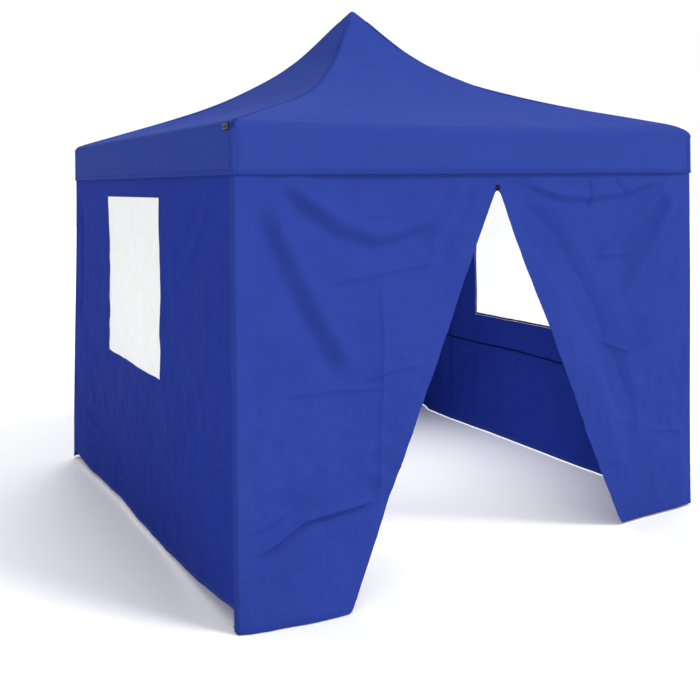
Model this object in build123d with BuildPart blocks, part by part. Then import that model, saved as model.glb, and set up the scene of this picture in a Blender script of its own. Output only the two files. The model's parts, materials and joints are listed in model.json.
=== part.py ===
from build123d import *
import os
from math import exp, hypot

# A square folding gazebo, in millimetres. The origin is on the ground at the middle of the footprint,
# +X runs along the front from left to right, +Y runs from front to back and +Z is up.

# Driving dimensions of the whole tent
FOOTPRINT = 3000
PEAK_Z = 3150
EAVE_Z = 2270
VALANCE_DROP = 240
HALF = FOOTPRINT / 2

# Square steel legs, an inner tube telescoping in an outer one
LEG_LINE = HALF - 38
OUTER_TUBE = 30
INNER_TUBE = 25
TUBE_WALL = 1.2
TUBE_CORNER = 3
OUTER_BOTTOM_Z = 735
OUTER_TOP_Z = 2250
INNER_TOP_Z = 935
SNUG = 0.05

# Foot plates, set inwards so that they stay inside the walls
FOOT_SIZE = 75
FOOT_THICK = 5
FOOT_CORNER = 8
FOOT_OUTER_EDGE = LEG_LINE + 23
STAKE_HOLE_R = 5.5
STAKE_HOLE_LINE = 1425

# Plastic collar at the bottom of each outer tube, with the snap button that sets the height
COLLAR_SIZE = 42
COLLAR_BOTTOM_Z = 715
COLLAR_TOP_Z = 785
COLLAR_BORE = 26
BUTTON_Z = 760
BUTTON_R = 4.5
BUTTON_BORE_R = 4.58
BUTTON_BOSS_R = 9
BUTTON_BOSS_END = 27
BUTTON_START = 19.2
BUTTON_END = 33
BUTTON_ROUND = 2
SNAP_HOLE_R = 5
SNAP_HOLE_ZS = (560, 660, 760)

# Truss pivots: two heights, and their distances from the bracket that carries them
TOP_PIN_Z = 2235
LOW_PIN_Z = 1975
LEG_PIN = 42
MID_SIDE_PIN = 30
MID_INNER_PIN = 36
HUB_PIN = 36

# Brackets
EAR_HALF = 1.6
EAR_R = 11
EAR_SUNK = 2
HEAD_HALF = 20
HEAD_BOTTOM_Z = 2205
HEAD_TOP_Z = 2262
SLIDER_HALF = 22
SLIDER_BORE = 31
SLIDER_HEIGHT = 50
MID_LENGTH = 18
MID_DEPTH = 24
MID_HEIGHT = 40
HUB_HALF = 18
HUB_HEIGHT = 40
BRACKET_EDGE = 2

# Rectangular truss bars in two layers, one on each side of the bracket ears
BAR_HEIGHT = 22
BAR_DEPTH = 10
BAR_WALL = 0.8
BAR_PAST_PIN = 12
BAR_INNER_FACE = 2
BAR_OUTER_FACE = BAR_INNER_FACE + BAR_DEPTH
RIVET_R = 3
RIVET_HEAD_R = 6
RIVET_HEAD = 1.5
RUNNING_R = 3.08
HEAD_GAP = 0.4
SPACER_HALF = 1.6

# Centre mast
MAST_R = 12.5
MAST_BORE_R = 12.58
MAST_BOTTOM_Z = 1996
MAST_TOP_Z = 3100
SPIGOT_R = 10.5
SPIGOT_HEIGHT = 30
CAP_R = 20
CAP_SKIRT = 12

# Cloth
CLOTH = 1
ROOF_SKIN = 1
ROOF_SHARES = (1, 0.75, 0.5, 0.33, 0.2, 0.1, 0.003)
WALL_LINE = HALF - 8
WALL_HALF_WIDTH = WALL_LINE - 1.5
WALL_TOP_Z = 2200
WALL_HEM_Z = 20
WINDOW_WIDTH = 1065
WINDOW_BOTTOM_Z = 925
WINDOW_TOP_Z = 1920
WINDOW_SHIFT_LEFT = -100
WINDOW_SHIFT_RIGHT = 45
PANE_LAP = 15
PANE_DEPTH = 1.5
PANE = 0.5
DOOR_APEX_Z = 1975
DOOR_LEFT_FOOT = -915
DOOR_RIGHT_FOOT = 890
FLAP_DEPTH = 3
FLAP_TIP_X = 1380
FLAP_TIP_Z = 760
FLAP_APEX_DROP = 40
FLAP_HEM_Z = 60

CORNERS = {"front_left": (-1, -1), "back_left": (-1, 1), "front_right": (1, -1), "back_right": (1, 1)}
# Each side truss: the direction out of the tent, and the direction from its near leg to its far leg
SIDE_TRUSSES = {
    "left": ((-1, 0), (0, 1)),
    "front": ((0, -1), (1, 0)),
    "back": ((0, 1), (1, 0)),
    "right": ((1, 0), (0, 1)),
}


def save(piece, name):
    """Label a finished piece and write it as its own STEP file."""
    piece.part.label = name
    export_step(piece.part, f"parts/{name}.step")


def roof_z(share):
    """Height of the roof at a share of the way from the peak, 0, to the eave, 1: a tent on a low pyramid."""
    low_pyramid = 0.55 * (1 - share)
    tent = 0.45 * exp(-((share / 0.2) ** 1.35))
    return EAVE_Z + (PEAK_Z - EAVE_Z) * (low_pyramid + tent)


def upright(x, y, direction):
    """Vertical plane through a point of the plan, local x along the direction and local y up."""
    dx, dy = direction
    return Plane(origin=(x, y, 0), x_dir=(dx, dy, 0), z_dir=(dy, -dx, 0))


def wall_plane(outward, line):
    """Vertical plane facing out of one side of the tent, local x to the right as seen from outside."""
    ox, oy = outward
    return Plane(origin=(ox * line, oy * line, 0), x_dir=(-oy, ox, 0), z_dir=(ox, oy, 0))


def add_block(x, y, width, depth, low, high):
    """Bracket body standing on a rectangle of the plan, with eased vertical edges."""
    with BuildSketch(Plane.XY.offset(low)) as outline:
        with Locations((x, y)):
            RectangleRounded(width, depth, BRACKET_EDGE)
    extrude(outline.sketch, amount=high - low)


def add_ear(x, y, direction, root, reach, pin_z):
    """Flat lug from a bracket's face out to a pivot, with the pivot's hole."""
    with BuildSketch(upright(x, y, direction)) as outline:
        with Locations(((root + reach) / 2, pin_z)):
            Rectangle(reach - root, 2 * EAR_R)
        with Locations((reach, pin_z)):
            Circle(EAR_R)
            Circle(RUNNING_R, mode=Mode.SUBTRACT)
    extrude(outline.sketch, amount=EAR_HALF, both=True)


def add_rivet(plane, pivot, back, front):
    """Rivet through a truss pivot, with a head beyond each end of its grip."""
    with BuildSketch(plane.offset(back - RIVET_HEAD)) as shaft:
        with Locations(pivot):
            Circle(RIVET_R)
    extrude(shaft.sketch, amount=front - back + 2 * RIVET_HEAD)
    for face in (back - RIVET_HEAD, front):
        with BuildSketch(plane.offset(face)) as head:
            with Locations(pivot):
                Circle(RIVET_HEAD_R)
        extrude(head.sketch, amount=RIVET_HEAD)


def make_bar(name, plane, start, end, layer):
    """Rectangular tube between two pivots, with the rivets that turn in the bracket ears.

    Layer 1 holds the bars that run down from the near end, which carry the rivet at the crossing too.
    """
    run = (end[0] - start[0], end[1] - start[1])
    length = hypot(*run)
    along = (plane.x_dir * run[0] + plane.y_dir * run[1]) / length
    sideways = plane.z_dir * layer * (BAR_INNER_FACE + BAR_DEPTH / 2)
    first = plane.origin + plane.x_dir * start[0] + plane.y_dir * start[1] + sideways
    crossing = ((start[0] + end[0]) / 2, (start[1] + end[1]) / 2)
    grip = BAR_OUTER_FACE + SNUG
    ear_side = EAR_HALF + HEAD_GAP
    with BuildPart() as bar:
        with BuildSketch(Plane(origin=first - along * BAR_PAST_PIN, x_dir=plane.z_dir, z_dir=along)):
            Rectangle(BAR_DEPTH, BAR_HEIGHT)
            Rectangle(BAR_DEPTH - 2 * BAR_WALL, BAR_HEIGHT - 2 * BAR_WALL, mode=Mode.SUBTRACT)
        extrude(amount=length + 2 * BAR_PAST_PIN)
        with BuildSketch(plane):
            with Locations(start, end, crossing):
                Circle(RUNNING_R)
        extrude(amount=layer * BAR_OUTER_FACE, mode=Mode.SUBTRACT)
        for pivot in (start, end):
            faces = sorted((-layer * ear_side, layer * grip))
            add_rivet(plane, pivot, *faces)
        if layer == 1:
            add_rivet(plane, crossing, -BAR_OUTER_FACE - HEAD_GAP, grip)
            with BuildSketch(plane.offset(-SPACER_HALF)):
                with Locations(crossing):
                    Circle(RIVET_HEAD_R)
            extrude(amount=2 * SPACER_HALF)
    save(bar, name)


def make_crossed_pair(names, plane, near, far):
    """The two bars of one scissor between a near and a far distance along the truss."""
    make_bar(names[0], plane, (near, TOP_PIN_Z), (far, LOW_PIN_Z), 1)
    make_bar(names[1], plane, (near, LOW_PIN_Z), (far, TOP_PIN_Z), -1)


def make_side_truss(side, outward, direction):
    """Four bars and two middle brackets between two neighbouring legs."""
    dx, dy = direction
    middle = (outward[0] * LEG_LINE, outward[1] * LEG_LINE)
    plane = upright(middle[0] - dx * LEG_LINE, middle[1] - dy * LEG_LINE, direction)
    make_crossed_pair(
        (f"{side}_near_down_bar", f"{side}_near_up_bar"), plane, LEG_PIN, LEG_LINE - MID_SIDE_PIN
    )
    make_crossed_pair(
        (f"{side}_far_down_bar", f"{side}_far_up_bar"),
        plane,
        LEG_LINE + MID_SIDE_PIN,
        2 * LEG_LINE - LEG_PIN,
    )
    width = MID_LENGTH * abs(dx) + MID_DEPTH * abs(dy)
    depth = MID_LENGTH * abs(dy) + MID_DEPTH * abs(dx)
    inward = (-outward[0], -outward[1])
    backward = (-dx, -dy)
    for level, pin_z in (("top", TOP_PIN_Z), ("low", LOW_PIN_Z)):
        with BuildPart() as bracket:
            add_block(*middle, width, depth, pin_z - MID_HEIGHT / 2, pin_z + MID_HEIGHT / 2)
            add_ear(*middle, direction, MID_LENGTH / 2 - EAR_SUNK, MID_SIDE_PIN, pin_z)
            add_ear(*middle, backward, MID_LENGTH / 2 - EAR_SUNK, MID_SIDE_PIN, pin_z)
            add_ear(*middle, inward, MID_DEPTH / 2 - EAR_SUNK, MID_INNER_PIN, pin_z)
        save(bracket, f"{side}_mid_{level}_bracket")


def make_inner_truss(side, outward):
    """The scissor from a side's middle brackets to the hubs."""
    inward = (-outward[0], -outward[1])
    plane = upright(outward[0] * LEG_LINE, outward[1] * LEG_LINE, inward)
    names = (f"inner_{side}_down_bar", f"inner_{side}_up_bar")
    make_crossed_pair(names, plane, MID_INNER_PIN, LEG_LINE - HUB_PIN)


def push_plane(sx, sy):
    """Plane through a leg's centre line, facing the way its snap button stands out."""
    return Plane(origin=(sx * LEG_LINE, sy * LEG_LINE, BUTTON_Z), x_dir=(0, 1, 0), z_dir=(-sx, 0, 0))


def add_sleeve(x, y, outside, bore, low, high):
    """Length of square sleeve, open at both ends."""
    with BuildSketch(Plane.XY.offset(low)) as outline:
        with Locations((x, y)):
            RectangleRounded(outside, outside, BRACKET_EDGE)
            Rectangle(bore, bore, mode=Mode.SUBTRACT)
    extrude(outline.sketch, amount=high - low)


def add_leg_tube(x, y, side, low, high):
    """Square steel tube with rounded corners."""
    with BuildSketch(Plane.XY.offset(low)) as outline:
        with Locations((x, y)):
            RectangleRounded(side, side, TUBE_CORNER)
            Rectangle(side - 2 * TUBE_WALL, side - 2 * TUBE_WALL, mode=Mode.SUBTRACT)
    extrude(outline.sketch, amount=high - low)


def make_leg_outer(corner, sx, sy):
    """Outer leg tube, the lock collar round its bottom and the head bracket on its top."""
    x = sx * LEG_LINE
    y = sy * LEG_LINE
    push = push_plane(sx, sy)
    pocket = OUTER_TUBE + 2 * SNUG
    collar_step_z = OUTER_BOTTOM_Z - SNUG
    head_step_z = OUTER_TOP_Z + SNUG
    with BuildPart() as leg:
        add_sleeve(x, y, COLLAR_SIZE, COLLAR_BORE, COLLAR_BOTTOM_Z, collar_step_z)
        add_sleeve(x, y, COLLAR_SIZE, pocket, collar_step_z, COLLAR_TOP_Z)
        with BuildSketch(push.offset(COLLAR_SIZE / 2 - BRACKET_EDGE)):
            Circle(BUTTON_BOSS_R)
        extrude(amount=BUTTON_BOSS_END - COLLAR_SIZE / 2 + BRACKET_EDGE)
        with BuildSketch(push.offset(OUTER_TUBE / 2)):
            Circle(BUTTON_BORE_R)
        extrude(amount=BUTTON_BOSS_END - OUTER_TUBE / 2, mode=Mode.SUBTRACT)
        add_leg_tube(x, y, OUTER_TUBE, OUTER_BOTTOM_Z, OUTER_TOP_Z)
        with BuildSketch(push):
            Circle(SNAP_HOLE_R)
        extrude(amount=OUTER_TUBE / 2, mode=Mode.SUBTRACT)
        add_sleeve(x, y, 2 * HEAD_HALF, pocket, HEAD_BOTTOM_Z, head_step_z)
        add_block(x, y, 2 * HEAD_HALF, 2 * HEAD_HALF, head_step_z, HEAD_TOP_Z)
        for direction in ((-sx, 0), (0, -sy)):
            add_ear(x, y, direction, HEAD_HALF - EAR_SUNK, LEG_PIN, TOP_PIN_Z)
    save(leg, f"{corner}_leg_outer")


def make_leg_inner(corner, sx, sy):
    """Inner leg tube with its row of snap holes, welded to a foot plate with two stake holes."""
    x = sx * LEG_LINE
    y = sy * LEG_LINE
    foot_centre = FOOT_OUTER_EDGE - FOOT_SIZE / 2
    with BuildPart() as leg:
        with BuildSketch():
            with Locations((sx * foot_centre, sy * foot_centre)):
                RectangleRounded(FOOT_SIZE, FOOT_SIZE, FOOT_CORNER)
            with Locations((sx * STAKE_HOLE_LINE, y), (x, sy * STAKE_HOLE_LINE)):
                Circle(STAKE_HOLE_R, mode=Mode.SUBTRACT)
        extrude(amount=FOOT_THICK)
        add_leg_tube(x, y, INNER_TUBE, FOOT_THICK, INNER_TOP_Z)
        with BuildSketch(push_plane(sx, sy)):
            with Locations(*[(0, -sx * (hole_z - BUTTON_Z)) for hole_z in SNAP_HOLE_ZS]):
                Circle(SNAP_HOLE_R)
        extrude(amount=INNER_TUBE, mode=Mode.SUBTRACT)
    save(leg, f"{corner}_leg_inner")


def make_leg_button(corner, sx, sy):
    """Round snap button standing out of the lock collar."""
    with BuildPart() as button:
        with BuildSketch(push_plane(sx, sy).offset(BUTTON_START)):
            Circle(BUTTON_R)
        extrude(amount=BUTTON_END - BUTTON_START)
        fillet(button.edges().sort_by(Axis.X)[-1 if sx < 0 else 0], BUTTON_ROUND)
    save(button, f"{corner}_leg_button")


def make_slider(corner, sx, sy):
    """Collar that runs on the outer leg tube and carries the low ends of two trusses."""
    x = sx * LEG_LINE
    y = sy * LEG_LINE
    with BuildPart() as slider:
        low = LOW_PIN_Z - SLIDER_HEIGHT / 2
        add_sleeve(x, y, 2 * SLIDER_HALF, SLIDER_BORE, low, low + SLIDER_HEIGHT)
        for direction in ((-sx, 0), (0, -sy)):
            add_ear(x, y, direction, SLIDER_HALF - EAR_SUNK, LEG_PIN, LOW_PIN_Z)
    save(slider, f"{corner}_slider")


def add_hub_block(pin_z):
    """Hub body with four ears, one towards the middle of each side."""
    add_block(0, 0, 2 * HUB_HALF, 2 * HUB_HALF, pin_z - HUB_HEIGHT / 2, pin_z + HUB_HEIGHT / 2)
    for outward, _ in SIDE_TRUSSES.values():
        add_ear(0, 0, outward, HUB_HALF - EAR_SUNK, HUB_PIN, pin_z)


def make_hubs():
    """Top hub that guides the mast, and low hub with the spigot that centres the mast's foot."""
    with BuildPart() as hub_top:
        add_hub_block(TOP_PIN_Z)
        with BuildSketch(Plane.XY.offset(TOP_PIN_Z - HUB_HEIGHT / 2)):
            Circle(MAST_BORE_R)
        extrude(amount=HUB_HEIGHT, mode=Mode.SUBTRACT)
    save(hub_top, "hub_top")

    with BuildPart() as hub_low:
        add_hub_block(LOW_PIN_Z)
        with BuildSketch(Plane.XY.offset(LOW_PIN_Z + HUB_HEIGHT / 2)):
            Circle(SPIGOT_R)
        extrude(amount=SPIGOT_HEIGHT)
    save(hub_low, "hub_low")


def make_mast():
    """Round tube that lifts the peak, with a domed cap that keeps it from cutting the cloth."""
    with BuildPart() as mast:
        with BuildSketch(Plane.XY.offset(MAST_BOTTOM_Z)):
            Circle(MAST_R)
            Circle(MAST_R - TUBE_WALL, mode=Mode.SUBTRACT)
        extrude(amount=MAST_TOP_Z - MAST_BOTTOM_Z)
        with BuildSketch(Plane.XZ):
            with BuildLine():
                skirt = Line((MAST_R + SNUG, MAST_TOP_Z - CAP_SKIRT), (CAP_R, MAST_TOP_Z - CAP_SKIRT))
                Line(skirt @ 1, (CAP_R, MAST_TOP_Z))
                dome = CenterArc((0, MAST_TOP_Z), CAP_R, 0, 90)
                Polyline(
                    dome @ 1,
                    (0, MAST_TOP_Z + SNUG),
                    (MAST_R + SNUG, MAST_TOP_Z + SNUG),
                    skirt @ 0,
                )
            make_face()
        revolve(axis=Axis.Z)
    save(mast, "mast")


def roof_loft(drop, eave_half, mode):
    """Stack of square sections following the roof's profile, lowered by the drop."""
    sections = []
    for share in ROOF_SHARES:
        half = eave_half if share == 1 else HALF * share
        with BuildSketch(Plane.XY.offset(roof_z(share) - drop)) as section:
            Rectangle(2 * half, 2 * half)
        sections.append(section.sketch)
    loft(sections, ruled=True, mode=mode)


def make_canopy():
    """Four roof panels that meet at the hips and four valance strips, each panel its own solid."""
    with BuildPart() as roof:
        roof_loft(0, HALF, Mode.ADD)
        roof_loft(ROOF_SKIN, HALF - CLOTH, Mode.SUBTRACT)

    panels = []
    for ox, oy in (outward for outward, _ in SIDE_TRUSSES.values()):
        wedge = Plane(origin=(ox * SNUG, oy * SNUG, EAVE_Z), x_dir=(-oy, ox, 0), z_dir=(0, 0, 1))
        with BuildPart() as panel:
            add(roof.part)
            with BuildSketch(wedge):
                with BuildLine():
                    Polyline((0, 0), (-FOOTPRINT, -FOOTPRINT), (FOOTPRINT, -FOOTPRINT), (0, 0))
                make_face()
            extrude(amount=PEAK_Z - EAVE_Z, mode=Mode.INTERSECT)
        panels.append(panel.part)

    with BuildPart() as canopy:
        for piece in panels:
            add(piece)
        for outward, _ in SIDE_TRUSSES.values():
            width = FOOTPRINT if outward[0] == 0 else FOOTPRINT - 2 * (CLOTH + SNUG)
            with BuildSketch(wall_plane(outward, HALF)):
                with Locations((0, EAVE_Z - SNUG - VALANCE_DROP / 2)):
                    Rectangle(width, VALANCE_DROP)
            extrude(amount=-CLOTH)
    save(canopy, "canopy")


def add_wall_sheet():
    """Plain rectangle of a side wall, from its hem to its top behind the valance."""
    with Locations((0, (WALL_HEM_Z + WALL_TOP_Z) / 2)):
        Rectangle(2 * WALL_HALF_WIDTH, WALL_TOP_Z - WALL_HEM_Z)


def make_window_side(side, outward, shift):
    """Side wall with a window opening, and the clear pane lapped behind it."""
    centre = (shift, (WINDOW_BOTTOM_Z + WINDOW_TOP_Z) / 2)
    height = WINDOW_TOP_Z - WINDOW_BOTTOM_Z
    with BuildPart() as wall:
        with BuildSketch(wall_plane(outward, WALL_LINE)):
            add_wall_sheet()
            with Locations(centre):
                Rectangle(WINDOW_WIDTH, height, mode=Mode.SUBTRACT)
        extrude(amount=-CLOTH)
    save(wall, f"wall_{side}")

    with BuildPart() as pane:
        with BuildSketch(wall_plane(outward, WALL_LINE - PANE_DEPTH)):
            with Locations(centre):
                Rectangle(WINDOW_WIDTH + 2 * PANE_LAP, height + 2 * PANE_LAP)
        extrude(amount=-PANE)
    save(pane, f"window_{side}")


def make_back_wall():
    """Plain wall across the back."""
    with BuildPart() as wall:
        with BuildSketch(wall_plane((0, 1), WALL_LINE)):
            add_wall_sheet()
        extrude(amount=-CLOTH)
    save(wall, "wall_back")


def make_front_wall():
    """Front wall with its zipped door folded open to an upturned V, and the two folded-back flaps."""
    with BuildPart() as wall:
        with BuildSketch(wall_plane((0, -1), WALL_LINE)):
            add_wall_sheet()
            with BuildLine():
                Polyline(
                    (0, DOOR_APEX_Z), (DOOR_LEFT_FOOT, 0), (DOOR_RIGHT_FOOT, 0), (0, DOOR_APEX_Z)
                )
            make_face(mode=Mode.SUBTRACT)
        extrude(amount=-CLOTH)
    save(wall, "wall_front")

    for side, foot_x in (("left", DOOR_LEFT_FOOT), ("right", DOOR_RIGHT_FOOT)):
        outer_x = FLAP_TIP_X if foot_x > 0 else -FLAP_TIP_X
        apex_z = DOOR_APEX_Z - FLAP_APEX_DROP
        apex_x = foot_x * FLAP_APEX_DROP / DOOR_APEX_Z
        hem_x = foot_x * (DOOR_APEX_Z - FLAP_HEM_Z) / DOOR_APEX_Z
        with BuildPart() as flap:
            with BuildSketch(wall_plane((0, -1), WALL_LINE - FLAP_DEPTH)):
                with BuildLine():
                    Polyline(
                        (apex_x, apex_z), (outer_x, FLAP_TIP_Z), (hem_x, FLAP_HEM_Z), (apex_x, apex_z)
                    )
                make_face()
            extrude(amount=-CLOTH)
        save(flap, f"door_flap_{side}")


os.makedirs("parts", exist_ok=True)
for corner, (sx, sy) in CORNERS.items():
    make_leg_outer(corner, sx, sy)
    make_leg_inner(corner, sx, sy)
    make_leg_button(corner, sx, sy)
    make_slider(corner, sx, sy)
for side, (outward, direction) in SIDE_TRUSSES.items():
    make_side_truss(side, outward, direction)
    make_inner_truss(side, outward)
make_hubs()
make_mast()
make_canopy()
make_window_side("left", (-1, 0), WINDOW_SHIFT_LEFT)
make_window_side("right", (1, 0), WINDOW_SHIFT_RIGHT)
make_back_wall()
make_front_wall()
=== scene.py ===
"""Looks for the pop up gazebo: cloth roof, valances, walls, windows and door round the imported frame."""

import json
import math

import bpy
import numpy as np
from mathutils import Matrix, Vector


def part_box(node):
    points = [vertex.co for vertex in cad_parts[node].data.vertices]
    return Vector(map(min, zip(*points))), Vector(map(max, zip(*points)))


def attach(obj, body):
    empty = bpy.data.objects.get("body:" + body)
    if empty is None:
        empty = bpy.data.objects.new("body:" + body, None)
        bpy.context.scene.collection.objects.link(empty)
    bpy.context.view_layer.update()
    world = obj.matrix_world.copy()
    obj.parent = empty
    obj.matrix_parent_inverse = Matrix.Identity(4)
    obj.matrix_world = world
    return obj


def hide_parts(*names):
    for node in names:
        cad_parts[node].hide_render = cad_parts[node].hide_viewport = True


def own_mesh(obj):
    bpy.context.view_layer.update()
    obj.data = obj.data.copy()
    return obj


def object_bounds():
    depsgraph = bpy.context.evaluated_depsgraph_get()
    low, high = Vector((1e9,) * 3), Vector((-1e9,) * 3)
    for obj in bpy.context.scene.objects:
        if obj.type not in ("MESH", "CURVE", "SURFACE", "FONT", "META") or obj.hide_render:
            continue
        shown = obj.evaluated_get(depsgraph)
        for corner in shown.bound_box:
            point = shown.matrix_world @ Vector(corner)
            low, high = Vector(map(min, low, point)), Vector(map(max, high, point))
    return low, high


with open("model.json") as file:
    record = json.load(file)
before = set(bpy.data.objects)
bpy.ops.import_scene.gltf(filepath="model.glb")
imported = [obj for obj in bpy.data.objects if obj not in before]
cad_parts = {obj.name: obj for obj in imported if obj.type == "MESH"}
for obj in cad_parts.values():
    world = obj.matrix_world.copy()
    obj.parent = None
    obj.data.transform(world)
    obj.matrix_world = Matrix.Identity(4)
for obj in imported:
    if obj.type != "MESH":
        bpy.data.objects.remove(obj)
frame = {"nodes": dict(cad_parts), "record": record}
cad_lo, cad_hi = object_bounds()


def linked(name, data):
    """Object of that data, in the scene."""
    made = bpy.data.objects.new(name, data)
    bpy.context.scene.collection.objects.link(made)
    return made


# -------- camera, fitted to the photo's perspective
CAMERA_AT = (-2.969, -5.062, 1.982)
CAMERA_YAW, CAMERA_ROLL = math.radians(30.12), math.radians(0.6)
LENS, LENS_SHIFT = 44.72, -0.2367

camera = linked("camera", bpy.data.cameras.new("camera"))
bpy.context.scene.camera = camera
camera.data.sensor_width = 36
camera.data.lens = LENS
camera.data.shift_y = LENS_SHIFT
level = Matrix.Rotation(-CAMERA_YAW, 4, "Z") @ Matrix.Rotation(math.pi / 2, 4, "X")
camera.matrix_world = Matrix.Translation(CAMERA_AT) @ level @ Matrix.Rotation(-CAMERA_ROLL, 4, "Z")

# -------- sizes, from the frame
HALF = cad_hi.x
PEAK = cad_hi.z + 0.003
VALANCE_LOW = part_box("canopy")[0].z
VALANCE_DROP = 0.24
EAVE = VALANCE_LOW + VALANCE_DROP
WALL = -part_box("wall_front")[0].y
WALL_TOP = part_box("wall_front")[1].z
THICK = 0.001
CORNER_R = 0.012
ROOF_CORNER_R = 0.014
GRID = 0.014

# Each side's direction along it, seen from outside to the right, and its outward normal
SIDES = {
    "front": (np.array([1.0, 0, 0]), np.array([0, -1.0, 0])),
    "left": (np.array([0, -1.0, 0]), np.array([-1.0, 0, 0])),
    "back": (np.array([-1.0, 0, 0]), np.array([0, 1.0, 0])),
    "right": (np.array([0, 1.0, 0]), np.array([1.0, 0, 0])),
}
NEAR = {"front": -1, "left": 1, "back": 1, "right": -1}
HELD_BY = {"front": "front_left_leg_outer", "left": "front_left_leg_outer",
           "back": "back_left_leg_outer", "right": "front_right_leg_outer"}
UP = np.array([0, 0, 1.0])


# -------- noise and folds
PITCH = 0.0125
CELLS = 320
FINE, MEDIUM, BROAD = 0.1, 0.22, 0.6


def noise_field(seed, scale):
    """Smooth periodic noise, CELLS by CELLS cells, with features about scale metres long and unit spread."""
    draw = np.random.default_rng(seed).standard_normal((CELLS, CELLS))
    k = 2 * np.pi * np.fft.fftfreq(CELLS, PITCH)
    keep = np.exp(-((k[:, None] ** 2 + k[None, :] ** 2) * (scale / 3.5) ** 2) / 2)
    field = np.fft.ifft2(np.fft.fft2(draw) * keep).real
    return field / field.std()


def sampled(field, x, y):
    """Field at points in metres, smoothly between its cells."""
    u, v = (x / PITCH) % CELLS, (y / PITCH) % CELLS
    i, j = np.floor(u).astype(int) % CELLS, np.floor(v).astype(int) % CELLS
    fu, fv = u - np.floor(u), v - np.floor(v)
    i1, j1 = (i + 1) % CELLS, (j + 1) % CELLS
    return ((field[i, j] * (1 - fu) + field[i1, j] * fu) * (1 - fv)
            + (field[i, j1] * (1 - fu) + field[i1, j1] * fu) * fv)


FIELDS = {(seed, scale): noise_field(seed * 10 + int(scale * 100), scale)
          for seed in range(1, 6) for scale in (FINE, MEDIUM, BROAD)}
FLAP_SEED, FILM_SEED = 4, 5


def waves(seed, scale, x, y):
    return sampled(FIELDS[seed, scale], x, y)


def crumple(seed, scale, x, y, height):
    """Ridged wrinkles, sharp along their crests."""
    return height * (0.6 - np.abs(waves(seed, scale, x, y)))


def side_seed(side):
    return 1 + list(SIDES).index(side)


def smooth(t):
    """0 below 0, 1 above 1, eased between."""
    t = np.clip(t, 0, 1)
    return t * t * (3 - 2 * t)


def to_line(x, y, points):
    """Signed distance from a polyline, positive to its left, and how far along it, 0 to 1."""
    points = np.array(points, float)
    lengths = np.linalg.norm(np.diff(points, axis=0), axis=1)
    total, walked = lengths.sum(), 0.0
    best = np.full(np.shape(x), np.inf)
    signed, along = np.zeros(np.shape(x)), np.zeros(np.shape(x))
    for a, b, length in zip(points[:-1], points[1:], lengths):
        d = (b - a) / length
        px, py = x - a[0], y - a[1]
        t = np.clip(px * d[0] + py * d[1], 0, length)
        dist = np.hypot(px - t * d[0], py - t * d[1])
        side = np.where(d[0] * py - d[1] * px >= 0, 1.0, -1.0)
        nearer = dist < best
        best = np.where(nearer, dist, best)
        signed = np.where(nearer, dist * side, signed)
        along = np.where(nearer, (walked + t) / total, along)
        walked += length
    return signed, along


def fades(along):
    """1 along the middle of a fold, 0 at its ends."""
    end = 0.18
    return smooth(along / end) * smooth((1 - along) / end)


def ridge(x, y, points, width, height):
    """Round fold along a line; a negative height is a valley."""
    d, along = to_line(x, y, points)
    return height * np.exp(-((d / width) ** 2)) * fades(along)


def crease(x, y, points, width, height):
    """Sharp pressed line."""
    d, along = to_line(x, y, points)
    return height * np.exp(-np.abs(d) / width) * fades(along)


def tuck(x, y, points, width, height):
    """Fold that stands out to the left of its line and falls back to the right of it."""
    d, along = to_line(x, y, points)
    t = d / (0.8 * width)
    return height * t * np.exp(0.5 - 0.5 * t ** 2) * fades(along)


# -------- mesh making
def new_object(name, verts, faces, uvs, material, normals=None):
    mesh = bpy.data.meshes.new(name)
    mesh.vertices.add(len(verts))
    mesh.vertices.foreach_set("co", np.asarray(verts, np.float32).ravel())
    faces = np.asarray(faces, np.int32)
    mesh.loops.add(faces.size)
    mesh.loops.foreach_set("vertex_index", faces.ravel())
    mesh.polygons.add(len(faces))
    mesh.polygons.foreach_set("loop_start", np.arange(0, faces.size, faces.shape[1], dtype=np.int32))
    mesh.update(calc_edges=True)
    mesh.validate()
    layer = mesh.uv_layers.new(name="cloth")
    index = np.zeros(len(mesh.loops), np.int32)
    mesh.loops.foreach_get("vertex_index", index)
    layer.data.foreach_set("uv", np.asarray(uvs, np.float32)[index].ravel())
    mesh.polygons.foreach_set("use_smooth", np.ones(len(mesh.polygons), bool))
    if normals is not None:
        mesh.normals_split_custom_set_from_vertices(np.asarray(normals, np.float32))
    mesh.materials.append(material)
    return linked(name, mesh)


def unit(v):
    return v / np.maximum(np.linalg.norm(v, axis=-1, keepdims=True), 1e-12)


def grid_normals(points):
    return unit(np.cross(np.gradient(points, axis=0), np.gradient(points, axis=1)))


def cloth(name, points, uv, material, normals=None, keep=None, thick=THICK):
    """Closed thin sheet under a grid of points, without the cells where keep is false."""
    nu, nv = points.shape[:2]
    normals = grid_normals(points) if normals is None else normals
    index = np.arange(nu * nv).reshape(nu, nv)
    quads = np.stack([index[:-1, :-1], index[1:, :-1], index[1:, 1:], index[:-1, 1:]], -1)
    quads = quads[keep] if keep is not None else quads.reshape(-1, 4)
    starts, ends = quads.ravel(), np.roll(quads, -1, axis=1).ravel()
    n = nu * nv
    rim = ~np.isin(starts.astype(np.int64) * n + ends, ends.astype(np.int64) * n + starts)
    a, b = starts[rim], ends[rim]
    faces = np.concatenate([quads, quads[:, ::-1] + n, np.stack([b, a, a + n, b + n], -1)])
    verts = np.concatenate([points.reshape(-1, 3), (points - normals * thick).reshape(-1, 3)])
    both = np.concatenate([normals.reshape(-1, 3), -normals.reshape(-1, 3)])
    uvs = np.concatenate([uv.reshape(-1, 2)] * 2)
    used, faces = np.unique(faces, return_inverse=True)
    return new_object(name, verts[used], faces.reshape(-1, 4), uvs[used], material, both[used])


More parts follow.
